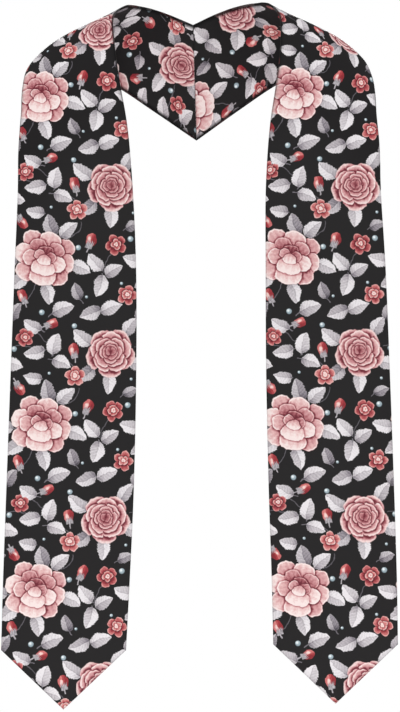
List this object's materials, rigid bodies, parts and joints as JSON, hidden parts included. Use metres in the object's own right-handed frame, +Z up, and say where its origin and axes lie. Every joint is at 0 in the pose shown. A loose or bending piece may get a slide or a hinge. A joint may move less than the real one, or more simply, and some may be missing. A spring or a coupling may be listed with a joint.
{
  "type": "graduation stole",
  "caption": "Graduation stole as worn: printed satin bands joined in a mitred seam behind the neck, over the shoulders and down the front to pointed ends.",
  "frame": {"origin": "middle of the neck opening, level with the top of the shoulders", "axes": "+Z up, -Y to the front, where the two ends hang, and +X to the right as seen from the front"},
  "size_m": [0.4111, 0.1517, 0.7327],
  "materials": {
    "printed_satin": "smooth polyester satin, near black with a printed floral of pink roses and grey leaves",
    "printed_lining": "the same printed satin, on the inner side"
  },
  "bodies": {
    "root": {"left_face": "printed_satin", "left_lining": "printed_lining", "right_face": "printed_satin", "right_lining": "printed_lining"}
  },
  "joints": []
}
